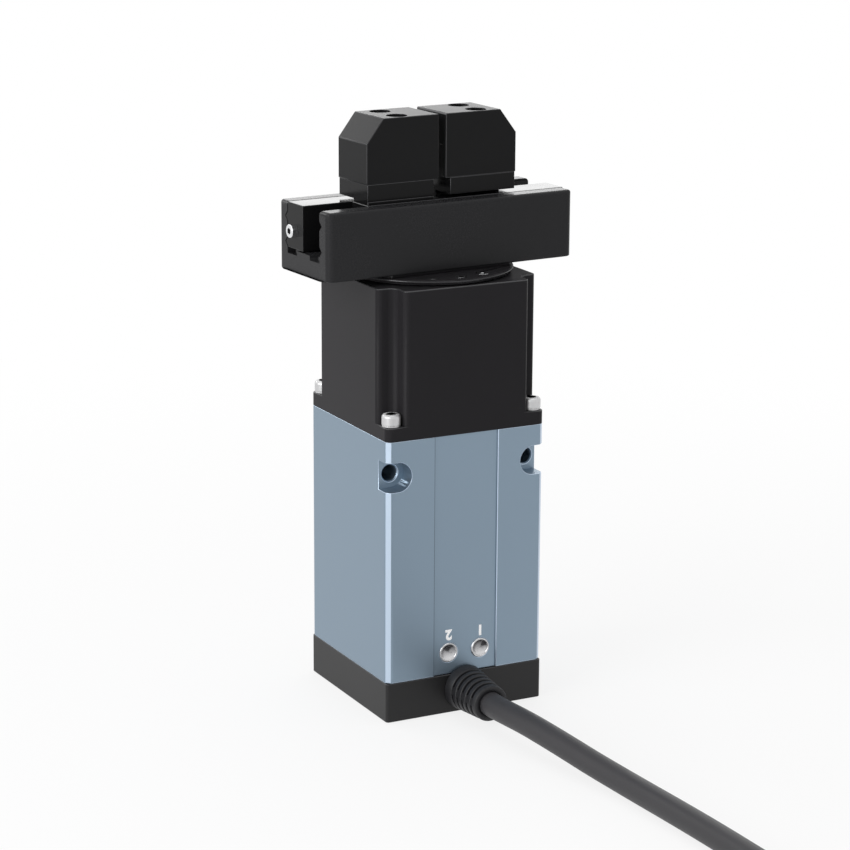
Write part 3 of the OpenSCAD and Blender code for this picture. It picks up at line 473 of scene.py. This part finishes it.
def cable_points():
    """The whole route; the second turn of the coil climbs onto the first"""
    points = [mm(*p) for p in LEAD]
    for step in range(round(COIL_TURNS * POINTS_PER_TURN)):
        turns = (step + 1) / POINTS_PER_TURN
        climb = min(1, max(0, (turns - CLIMB_FROM) / CLIMB_TURNS))
        eased = climb * climb * (3 - 2 * climb)
        angle = -math.tau * turns
        x = COIL_CENTRE[0] + COIL_R * math.cos(angle)
        y = COIL_CENTRE[1] + COIL_R * math.sin(angle)
        points.append(mm(x, y, CABLE_D / 2 + CABLE_D * eased))
    return points + [mm(*p) for p in TAIL]


def make_cable():
    """Round cable on one smooth curve"""
    route = cable_points()
    curve = bpy.data.curves.new("cable_run", "CURVE")
    curve.dimensions = "3D"
    curve.bevel_depth = CABLE_D / 2 * MM
    curve.bevel_resolution = 6
    curve.resolution_u = 6
    curve.use_fill_caps = True
    spline = curve.splines.new("BEZIER")
    spline.bezier_points.add(len(route) - 1)
    for knot, at in zip(spline.bezier_points, route):
        knot.co = at
        knot.handle_left_type = "AUTO"
        knot.handle_right_type = "AUTO"
    curve.materials.append(sheath)
    return belong(add_object("cable_run", curve), "body", "cable", "cable", "cable_coil")


BOOT_D = 13.2
BOOT_TIP_D = 10.4
BOOT_L = 16
BOOT_BORE = 3.3
BOOT_ROOT = 3.4
BOOT_AT = Matrix.Translation(mm(0, -25, 7)) @ FACING_OUT
RIBS = 5
RIB_PITCH = (BOOT_L - BOOT_ROOT) / (RIBS + 0.25)
RIB_SOFTNESS = 0.2
SLOT_DEPTH = 1.15
SLOT_LOW = 0.06
SLOT_HIGH = 0.78
BRIDGE = (1.5, 2.2, 1)
BRIDGE_DEGREES = -8


def boot_radius(at):
    """Outer radius of the boot at a distance from the cap"""
    return BOOT_D / 2 - (BOOT_D - BOOT_TIP_D) / 2 * at / BOOT_L


def make_boot():
    """Strain relief: rounded root, ribs with bridges in the slots between them, a collar at the cable"""
    outline = [
        (BOOT_BORE, -6), (3.8, -6), (3.8, 0), (6.35, 0), (6.6, 0.25), (boot_radius(3), 3),
        (boot_radius(BOOT_ROOT) - RIB_SOFTNESS, BOOT_ROOT),
    ]
    for rib in range(RIBS):
        low = BOOT_ROOT + RIB_PITCH * rib
        high = low + RIB_PITCH
        slot = boot_radius(low) - SLOT_DEPTH
        outline += [
            (slot, low + SLOT_LOW),
            (slot, low + SLOT_HIGH),
            (boot_radius(high) - RIB_SOFTNESS, low + 0.84),
            (boot_radius(high) + 0.02, low + 1.05),
            (boot_radius(high), high - RIB_SOFTNESS),
            (boot_radius(high) - RIB_SOFTNESS, high),
        ]
    outline = outline[:-2] + [
        (boot_radius(15.4), 15.4), (boot_radius(15.7) - 0.15, 15.8), (4.6, BOOT_L), (3.9, 15.9),
        (3.5, 15.6), (BOOT_BORE, 15.5),
    ]
    bm = spun(outline, 72)
    for side in (0, 180):
        for rib in range(RIBS):
            at = BOOT_ROOT + RIB_PITCH * rib + (SLOT_LOW + SLOT_HIGH) / 2
            turn = Matrix.Rotation(math.radians(BRIDGE_DEGREES + side), 4, "Z")
            add_block(bm, BRIDGE, turn @ Matrix.Translation(mm(boot_radius(at) - 1, 0, at)))
    return belong(piece_from("cable_boot", laid(bm, BOOT_AT), rubber), "body", "cable_gland", "cable_gland")


PLUG_AT = Matrix.Translation(mm(PLUG_X, PLUG_Y, PLUG_Z)) @ Matrix.Rotation(math.radians(-90), 4, "X")
NECK_R = 4.35
NECK_TAPER = 1.74 / 16
NECK_SLOTS = 5
NECK_PITCH = 2.3
KNURLS = 44
KNURL_DEPTH = 0.28
KNURL_FROM = 22.9
KNURL_TO = 31.5
SHELL_THREADS = 5
THREAD_PITCH = 1.15
PIN_FACE = 35.2
PIN_FACE_R = 4.5
PIN_CIRCLE_R = 2.4
PIN_L = 3.8


def make_plug_grip():
    """Overmoulded grip: tapered neck with relief grooves, and a plain sleeve for the fingers"""
    outline = [(3.3, 5), (3.3, 0.2), (3.5, 0), (4.1, 0), (NECK_R, 0.3)]
    for groove in range(NECK_SLOTS):
        at = 1.8 + NECK_PITCH * groove
        neck = NECK_R + NECK_TAPER * at
        outline += [(neck, at), (neck - 0.7, at + 0.15), (neck - 0.6, at + 1.0), (neck + 0.08, at + 1.15)]
    outline += [(6.0, 14.5), (6.09, 15.2), (6.09, 20.4), (5.8, 20.8), (4.2, 20.8)]
    return piece_from("plug_grip", laid(spun(outline), PLUG_AT), rubber)


def make_plug_nut():
    """Coupling nut with a knurled band between two rims"""
    outline = [
        (4.2, 20.9), (6.9, 20.9), (7.2, 21.2), (7.2, 22.4), (6.85, 22.7), (7.1, 23), (7.1, 26), (7.1, 29.2),
        (7.1, 31.4), (6.85, 31.7), (7.2, 32), (7.2, 33.3), (6.9, 33.6), (5.9, 33.6), (5.9, 30),
    ]
    bm = spun(outline, KNURLS * 2)
    for vert in bm.verts:
        radius = math.hypot(vert.co.x, vert.co.y)
        step = round(math.atan2(vert.co.y, vert.co.x) / math.pi * KNURLS)
        if KNURL_FROM * MM < vert.co.z < KNURL_TO * MM and step % 2:
            vert.co.xy *= (radius - KNURL_DEPTH * MM) / radius
    return piece_from("plug_nut", laid(bm, PLUG_AT), nickel)


def make_plug_insert():
    """Threaded shell round a face with four gold pins about a fifth"""
    outline = [(5.4, 30)]
    for thread in range(SHELL_THREADS):
        rise = THREAD_PITCH * thread
        outline += [(5.4, 33.7 + rise), (5.8, 34.2 + rise)]
    outline += [(5.5, 39.8), (5.2, 40), (PIN_FACE_R, 40), (PIN_FACE_R, PIN_FACE), (0, PIN_FACE)]
    bm = spun(outline, 48)
    for face in bm.faces:
        across = max(vert.co.xy.length for vert in face.verts)
        if face.calc_center_median().z < (PIN_FACE + 0.1) * MM and across < (PIN_FACE_R + 0.1) * MM:
            face.material_index = 1
    quarters = [math.tau * quarter / 4 for quarter in range(4)]
    pins = [(PIN_CIRCLE_R * math.cos(angle), PIN_CIRCLE_R * math.sin(angle)) for angle in quarters]
    for x, y in pins + [(0, 0)]:
        pin = bmesh.ops.create_cone(bm, cap_ends=True, segments=16, radius1=0.5 * MM, radius2=0.42 * MM,
                                    depth=PIN_L * MM)["verts"]
        bmesh.ops.translate(bm, verts=pin, vec=mm(x, y, PIN_FACE + PIN_L / 2))
        for face in {face for vert in pin for face in vert.link_faces}:
            face.material_index = 2
    return piece_from("plug_insert", laid(bm, PLUG_AT), nickel, dark_plastic, gold)


TIE_W = 6
TIE_T = 0.6
TIE_R = CABLE_D / 2 + 0.05
TIE_STEPS = 48
TIE_LOW = TIE_R + TIE_T
TIE_HIGH = CABLE_D * 1.5
BUCKLE = (8.4, 5.2, 2.6)


def make_coil_tie():
    """Nylon strap round both turns of the coil, with its buckle on top"""
    bm = bmesh.new()
    ring = []
    for step in range(TIE_STEPS):
        angle = math.tau * (step + 0.5) / TIE_STEPS
        middle = TIE_HIGH if math.sin(angle) > 0 else TIE_LOW
        at = mm(-TIE_W / 2, TIE_R * math.cos(angle), middle + TIE_R * math.sin(angle))
        ring.append(bm.verts.new(at))
    edges = [bm.edges.new(pair) for pair in zip(ring, ring[1:] + ring[:1])]
    grown = bmesh.ops.extrude_edge_only(bm, edges=edges)["geom"]
    far_rim = [item for item in grown if isinstance(item, bmesh.types.BMVert)]
    bmesh.ops.translate(bm, verts=far_rim, vec=mm(TIE_W, 0, 0))
    bmesh.ops.recalc_face_normals(bm, faces=bm.faces)
    bmesh.ops.solidify(bm, geom=bm.faces[:], thickness=-TIE_T * MM)
    buckle = add_block(bm, BUCKLE, Matrix.Translation(mm(0, -1.4, 15)))
    buckle_edges = {edge for vert in buckle for edge in vert.link_edges}
    bmesh.ops.bevel(bm, geom=list(buckle_edges), offset=0.5 * MM, offset_type="OFFSET", segments=2,
                    profile=0.5, affect="EDGES", material=-1)
    laid(bm, Matrix.Translation(mm(COIL_CENTRE[0], COIL_CENTRE[1] - COIL_R, 0)))
    return piece_from("coil_tie", bm, dark_plastic)


cable_run = make_cable()
cable_boot = make_boot()
plug_grip = belong(make_plug_grip(), "body", "cable_plug", "cable_plug")
plug_nut = belong(make_plug_nut(), "body", "cable_plug")
plug_insert = belong(make_plug_insert(), "body", "cable_plug")
coil_tie = belong(make_coil_tie(), "body", "cable_plug")

# ---- machined parts ----


def merged_copy(node):
    """bmesh of a CAD node with its loose triangles joined into plain faces"""
    bm = bmesh.new()
    bm.from_mesh(nodes[node].data)
    bmesh.ops.remove_doubles(bm, verts=bm.verts, dist=0.00001)
    bmesh.ops.dissolve_degenerate(bm, edges=bm.edges, dist=0.000002)
    bmesh.ops.dissolve_limit(bm, angle_limit=math.radians(1), use_dissolve_boundaries=False,
                             verts=bm.verts, edges=bm.edges, delimit={"NORMAL"})
    for face in bm.faces:
        face.material_index = 0
    return bm


def mark_corners(bm, share):
    """Writes on each outward corner the share of the full radius that it gets"""
    marks = bm.edges.layers.float.new("bevel_weight_edge")
    for edge in bm.edges:
        if len(edge.link_faces) == 2 and edge.calc_face_angle_signed(0) > CORNER_ABOVE:
            middle = (edge.verts[0].co + edge.verts[1].co) / 2 / MM
            edge[marks] = share(middle, edge) if share else 1


def break_edges(piece, width, material=-1, segments=2):
    """Small radius along the marked corners"""
    edge = piece.modifiers.new("broken_edges", "BEVEL")
    edge.width = width * MM
    edge.segments = segments
    edge.profile = 0.5
    edge.limit_method = "WEIGHT"
    edge.use_clamp_overlap = False
    edge.material = material
    flat = piece.modifiers.new("flat_faces", "WEIGHTED_NORMAL")
    flat.mode = "FACE_AREA"
    flat.weight = 80
    flat.keep_sharp = True


def machined(node, body, width, main, edge=None, share=None, shift=None, segments=2, work=None):
    """A CAD node dressed as a machined part with broken edges"""
    bm = merged_copy(node)
    if work:
        work(bm)
    if shift:
        for vert in bm.verts:
            vert.co += shift(vert.co / MM) * MM
    mark_corners(bm, share)
    piece = piece_from(node + "_finished", bm, main, *([edge] if edge else []))
    break_edges(piece, width, 1 if edge else -1, segments)
    return belong(piece, body, node, node)


# Where the shares below change, in millimetres
CAP_RIM_HALF = 22
PANEL_Y = -24.3
PANEL_HALF = 10.2
BESIDE_PANEL_EDGE = 9
DISC_RIM_R = 23
BLOCK_SIDE_HALF = 17
RAIL_TOP_EDGES = 146
RAIL_TOP = 147
RAIL_SIDE_HALF = 13
CHANNEL_HALF = 8.9
CHANNEL_LIP_HALF = 9.4
SHORT_EDGE = 1.2


def small_bores(middle, edge):
    """A rim made of short pieces gets little"""
    return 0.35 if edge.calc_length() < SHORT_EDGE * MM else 1


def cap_share(middle, edge):
    """Soft lower edge, close joint at the top"""
    return 0.5 if max(abs(middle.x), abs(middle.y)) > CAP_RIM_HALF else 0.25


def housing_share(middle, edge):
    """Crisp front panel and light bores; a fine joint to the flange above"""
    on_panel = middle.y < PANEL_Y and abs(middle.x) < PANEL_HALF
    if on_panel and HOUSING_LOW.z + 0.5 < middle.z < HOUSING_HIGH.z - 0.5:
        if abs(middle.x) < BESIDE_PANEL_EDGE:
            return 0.6
        # the right step's broken edge takes the lighter edge finish, a painted highlight line; the left
        # step has none
        return 0.8 if middle.x > 0 else 0
    return 1 if middle.z < HOUSING_LOW.z + 0.3 else 0.3


CORNER_CUT = 1.0


def flatten_corners(bm):
    """Narrow flats down the four corners of the housing, in the lighter edge finish that paints a highlight
    on them
    """
    reach = (HOUSING_HIGH.x * math.sqrt(2) - CORNER_CUT) * MM
    for x in (-1, 1):
        for y in (-1, 1):
            out = Vector((x, y, 0)).normalized()
            bmesh.ops.bisect_plane(bm, geom=bm.verts[:] + bm.edges[:] + bm.faces[:], plane_co=out * reach,
                                   plane_no=out, dist=0.0000001, clear_outer=True)
            rim = [edge for edge in bm.edges if edge.is_boundary]
            for flat in bmesh.ops.holes_fill(bm, edges=rim, sides=0)["faces"]:
                # the flats take the edge finish: painted highlight
                flat.material_index = 1
                if flat.normal.dot(out) < 0:
                    flat.normal_flip()


def block_share(middle, edge):
    """Close joint to the body, plain corners above"""
    if middle.z < HOUSING_HIGH.z + 0.5:
        return 0.3
    return 1 if max(abs(middle.x), abs(middle.y)) > BLOCK_SIDE_HALF else 0.3


def disc_share(middle, edge):
    """Round rim, crisp bores"""
    return 1 if math.hypot(middle.x, middle.y) > DISC_RIM_R else 0.2


def across_rail(place):
    """Distance from the middle plane of the rail"""
    return place.y * math.cos(HEAD_TURN) - place.x * math.sin(HEAD_TURN)


def rail_share(middle, edge):
    """Soft outer corners; crisp grooves, slots and bores"""
    across = abs(across_rail(middle))
    on_top = middle.z > RAIL_TOP_EDGES
    if across > RAIL_SIDE_HALF or (across > CHANNEL_LIP_HALF and on_top):
        return 1
    return 0.25 if across > CHANNEL_HALF and on_top else 0.12


def slider_share(middle, edge):
    """Crisp guide ribs and rack under a softer seat"""
    return 1 if middle.z > RAIL_TOP_EDGES else 0.2


SLIDER_GAP = 0.32
SLIDER_SIDE_HALF = 8.6


def slider_play(place):
    """Clear gap between a slider and the channel's wall"""
    across = across_rail(place)
    if abs(across) < SLIDER_SIDE_HALF or place.z > RAIL_TOP:
        return Vector()
    inward = -math.copysign(SLIDER_GAP, across)
    return Vector((-inward * math.sin(HEAD_TURN), inward * math.cos(HEAD_TURN), 0))


# Node, body, radius in millimetres, finish and finish of the edges; the lighter edge finishes paint a
# highlight along the broken edges
machined("base_cap", "body", 0.3, cap_metal, black_painted_highlight, cap_share)
machined("body_housing", "body", 0.3, blue_metal, blue_painted_highlight, housing_share, work=flatten_corners)
machined("drive_housing", "body", 0.28, black_metal, black_painted_highlight, block_share)
machined("output_disc", "head", 0.28, black_metal, black_painted_highlight, disc_share, segments=3)
machined("table_hub", "head", 0.15, black_metal)
machined("rail_housing", "head", 0.45, rail_metal, None, rail_share, segments=3)
machined("left_slider", "left_jaw", 0.15, slide_metal, black_painted_highlight, slider_share, slider_play)
machined("right_slider", "right_jaw", 0.15, slide_metal, black_painted_highlight, slider_share, slider_play)
machined("left_finger", "left_jaw", 0.2, finger_metal, finger_painted_highlight, small_bores)
machined("right_finger", "right_jaw", 0.2, finger_metal, finger_painted_highlight, small_bores)
machined("housing_washers", "body", 0.08, screw_steel)
# Bright steel on the broken edges of the dark disc screws: painted glints
machined("disc_screws", "head", 0.12, dark_steel, bright_steel)
machined("lens_rings", "body", 0.12, ring_steel, ring_painted_highlight)

# ---- lights on the front, screws and numerals ----

LENS_DISH = [
    (0, -1.05), (0.5, -1.0), (1.0, -0.86), (1.5, -0.62), (1.9, -0.34), (2.2, -0.05),
    (LENS_D / 2, 0), (LENS_D / 2, -2), (0, -2),
]


def make_lenses():
    """Two dished silver lenses under the rims of the lights"""
    bm = bmesh.new()
    for side in (-1, 1):
        place = Matrix.Translation(mm(side * LIGHT_SPAN / 2, LIGHT_Y, LIGHT_Z))
        dish = laid(spun(LENS_DISH, 48), place @ FACING_OUT)
        draft = bpy.data.meshes.new("draft")
        dish.to_mesh(draft)
        dish.free()
        bm.from_mesh(draft)
        bpy.data.meshes.remove(draft)
    return belong(piece_from("lens_dishes", bm, lens_silver), "body", "status_lenses", "status_lenses")


make_lenses()

TOP_BAND = 0.1


def socket_screws(node, body, tops, out, head_r, crown, finish, rim):
    """Cap screws with rounded crowns, painted shade in their sockets and the rim finish on their top faces;
    tops are the middles of their heads
    """
    bm = merged_copy(node)
    out = Vector(out).normalized()

    def from_top(middle):
        """Height over the nearest head's top and distance from its axis"""
        offset = min((middle - Vector(top) for top in tops), key=lambda step: step.length)
        height = offset.dot(out)
        return height, (offset - height * out).length

    def share(middle, edge):
        """Full radius round the crown alone"""
        height, radius = from_top(middle)
        return 1 if height > -TOP_BAND and radius > head_r - 0.3 else 0.15

    mark_corners(bm, share)
    for face in bm.faces:
        height, radius = from_top(face.calc_center_median() / MM)
        # socket walls take the painted shade
        if -head_r < height < -TOP_BAND and radius < head_r * 0.6:
            face.material_index = 1
        # top faces take the rim finish, painted light where it is paler than the head
        elif abs(height) < TOP_BAND:
            face.material_index = 2
    piece = piece_from(node + "_finished", bm, finish, socket_painted_shade, rim)
    break_edges(piece, crown, segments=3)
    return belong(piece, body, node, node)


FLANGE_SCREWS = [(x, y, 89.8) for x in (-22.25, 22.25) for y in (-21.9, 21.9)]
END_SCREW_HALF = 3.75


def end_screw(node, body, side):
    """The screw in a slider's end, with its head outwards"""
    low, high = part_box(node)
    top = (low + high) / 2 / MM + side * ALONG_RAIL * END_SCREW_HALF
    socket_screws(node, body, [top], side * ALONG_RAIL, 1.9, 0.25, bright_steel, bright_steel)


# The flange screws' tops take the pale finish: painted light
socket_screws("housing_screws", "body", FLANGE_SCREWS, (0, 0, 1), 2.7, 0.8, screw_steel, pale_top_painted_light)
end_screw("left_end_screw", "left_jaw", 1)
end_screw("right_end_screw", "right_jaw", -1)

NUMERAL_SIZE = 4.1
NUMERAL_HALF_THICKNESS = 0.02
NUMERAL_GROWN = 0.19
NUMERAL_Z = LIGHT_Z + 5.45


def make_numeral(text, x):
    """Printed numeral over a light, read with the fingers pointing down"""
    words = bpy.data.curves.new("numeral_" + text, "FONT")
    words.body = text
    words.size = NUMERAL_SIZE * MM
    words.extrude = NUMERAL_HALF_THICKNESS * MM
    words.offset = NUMERAL_GROWN * MM
    words.align_x = "CENTER"
    words.align_y = "CENTER"
    draft = add_object("draft", words)
    bpy.context.view_layer.update()
    drawn_words = draft.evaluated_get(bpy.context.evaluated_depsgraph_get())
    mesh = bpy.data.meshes.new_from_object(drawn_words)
    bpy.data.objects.remove(draft)
    upside_down = Matrix.Rotation(math.pi, 4, "Y")
    mesh.transform(Matrix.Translation(mm(x, LIGHT_Y, NUMERAL_Z)) @ upside_down @ FACING_OUT)
    mesh.materials.clear()
    mesh.materials.append(painted_glow_print)
    return belong(add_object("numeral_" + text, mesh), "body", "body_housing")


make_numeral("1", LIGHT_SPAN / 2)
make_numeral("2", -LIGHT_SPAN / 2)

# ---- CAD nodes that keep their own shape ----

PLAIN_FINISHES = {
    "cap_screws": stainless,
    "control_board": board_green,
    "board_standoffs": brass,
    "grip_motor": lacquer,
    "motor_encoder": dark_plastic,
    "motor_plate": plain_aluminium,
    "plate_screws": stainless,
    "motor_screws": stainless,
    "stator_core": lamination,
    "stator_coils": copper,
    "bearing_outer_ring": bright_steel,
    "bearing_clip": spring_steel,
    "angle_reader": board_green,
    "rotor_tube": plain_steel,
    "rotor_magnets": nickel,
    "bearing_inner_ring": bright_steel,
    "bearing_balls": bright_steel,
    "code_disc": code_glass,
    "hub_screws": stainless,
    "rail_screws": dark_steel,
    "stop_screws": dark_steel,
    "shaft_bush": bronze,
    "motor_shaft": bright_steel,
    "shaft_coupling": plain_aluminium,
    "drive_shaft": bright_steel,
    "drive_pinion": plain_steel,
    "left_finger_screws": stainless,
    "right_finger_screws": stainless,
}

for name, finish in PLAIN_FINISHES.items():
    for slot in nodes[name].material_slots:
        slot.material = finish

# ---- floor and light ----

GROUND = cad_box[0].z
FLOOR_DROP = 0.0002
FLOOR_HALF = 6
WORLD_LIGHT = 0.45
SEEN_BY = ("Is Camera Ray", "Is Glossy Ray", "Is Transmission Ray")


def make_floor():
    """Wide pale floor that keeps the shadow, white in the distance"""
    finish = Finish("studio_floor", Roughness=0.75, Specular_IOR_Level=0.1)
    cloud = finish.noise(scale=1.4, detail=2)
    finish.put("Base Color", finish.blend(cloud, (0.9, 0.9, 0.903), (0.92, 0.92, 0.923)))
    reach = finish.node("ShaderNodeVectorMath", {"operation": "LENGTH"}, {0: finish.place}, output="Value")
    far = finish.node("ShaderNodeMapRange", {"interpolation_type": "SMOOTHSTEP"},
                      {"Value": reach, "From Min": 0.06, "From Max": 0.45, "To Min": 0.8, "To Max": 1.0})
    seen, mirrored, clear = (finish.node("ShaderNodeLightPath", output=ray) for ray in SEEN_BY)
    white = finish.node("ShaderNodeEmission", {}, {"Color": (1, 1, 1, 1), "Strength": 1.0})
    plain = Value(finish, finish.shader.outputs[0])
    mixed = finish.node("ShaderNodeMixShader", {}, {0: far * (seen + mirrored + clear), 1: plain, 2: white})
    finish.feed(finish.tree.nodes["Material Output"].inputs["Surface"], mixed)
    bm = bmesh.new()
    bmesh.ops.create_grid(bm, x_segments=4, y_segments=4, size=FLOOR_HALF)
    bmesh.ops.translate(bm, vec=(0, 0, GROUND - FLOOR_DROP), verts=bm.verts)
    floor = piece_from("studio_floor", bm, finish.material)


def set_world():
    """Even grey light; the camera, gloss and glass see it white"""
    world = bpy.data.worlds.new("studio")
    bpy.context.scene.world = world
    world.use_nodes = True
    tree = world.node_tree
    backdrop = tree.nodes["Background"]
    backdrop.inputs["Color"].default_value = (1, 1, 1, 1)
    path = tree.nodes.new("ShaderNodeLightPath")
    seen = path.outputs[SEEN_BY[0]]
    for ray in SEEN_BY[1:]:
        either = tree.nodes.new("ShaderNodeMath")
        either.operation = "MAXIMUM"
        tree.links.new(seen, either.inputs[0])
        tree.links.new(path.outputs[ray], either.inputs[1])
        seen = either.outputs[0]
    level = tree.nodes.new("ShaderNodeMapRange")
    tree.links.new(seen, level.inputs["Value"])
    level.inputs["To Min"].default_value = WORLD_LIGHT
    level.inputs["To Max"].default_value = 1.0
    tree.links.new(level.outputs[0], backdrop.inputs["Strength"])


def add_softbox(name, at, aim, size, power):
    """Large soft lamp pointing at a spot"""
    lamp = bpy.data.lights.new(name, "AREA")
    lamp.shape = "RECTANGLE"
    lamp.size, lamp.size_y = size
    lamp.energy = power
    box = add_object(name, lamp)
    sight = Vector(aim) - Vector(at)
    box.matrix_world = Matrix.Translation(at) @ sight.to_track_quat("-Z", "Y").to_matrix().to_4x4()
    box.visible_camera = False


make_floor()
set_world()

# Name, place, aim and size in metres, and power in watts
add_softbox("key_left", (-1.5, -0.3, 0.75), (0, 0, 0.08), (1.3, 1.1), 14)
add_softbox("top", (0.1, 0.3, 1.7), (0, 0, 0.1), (1.6, 1.6), 9)
add_softbox("back_strip", (0.71, 1.38, 0.42), (0, 0, 0.14), (1.2, 0.3), 2.3)
add_softbox("back_left", (-0.52, 1.3, 0.75), (0, 0, 0.16), (0.6, 0.4), 2)
add_softbox("corner_strip", (-0.602, -0.311, 0.15), (0, 0, 0.05), (0.1, 0.28), 0.35)
bpy.context.scene.view_settings.view_transform = "Standard"
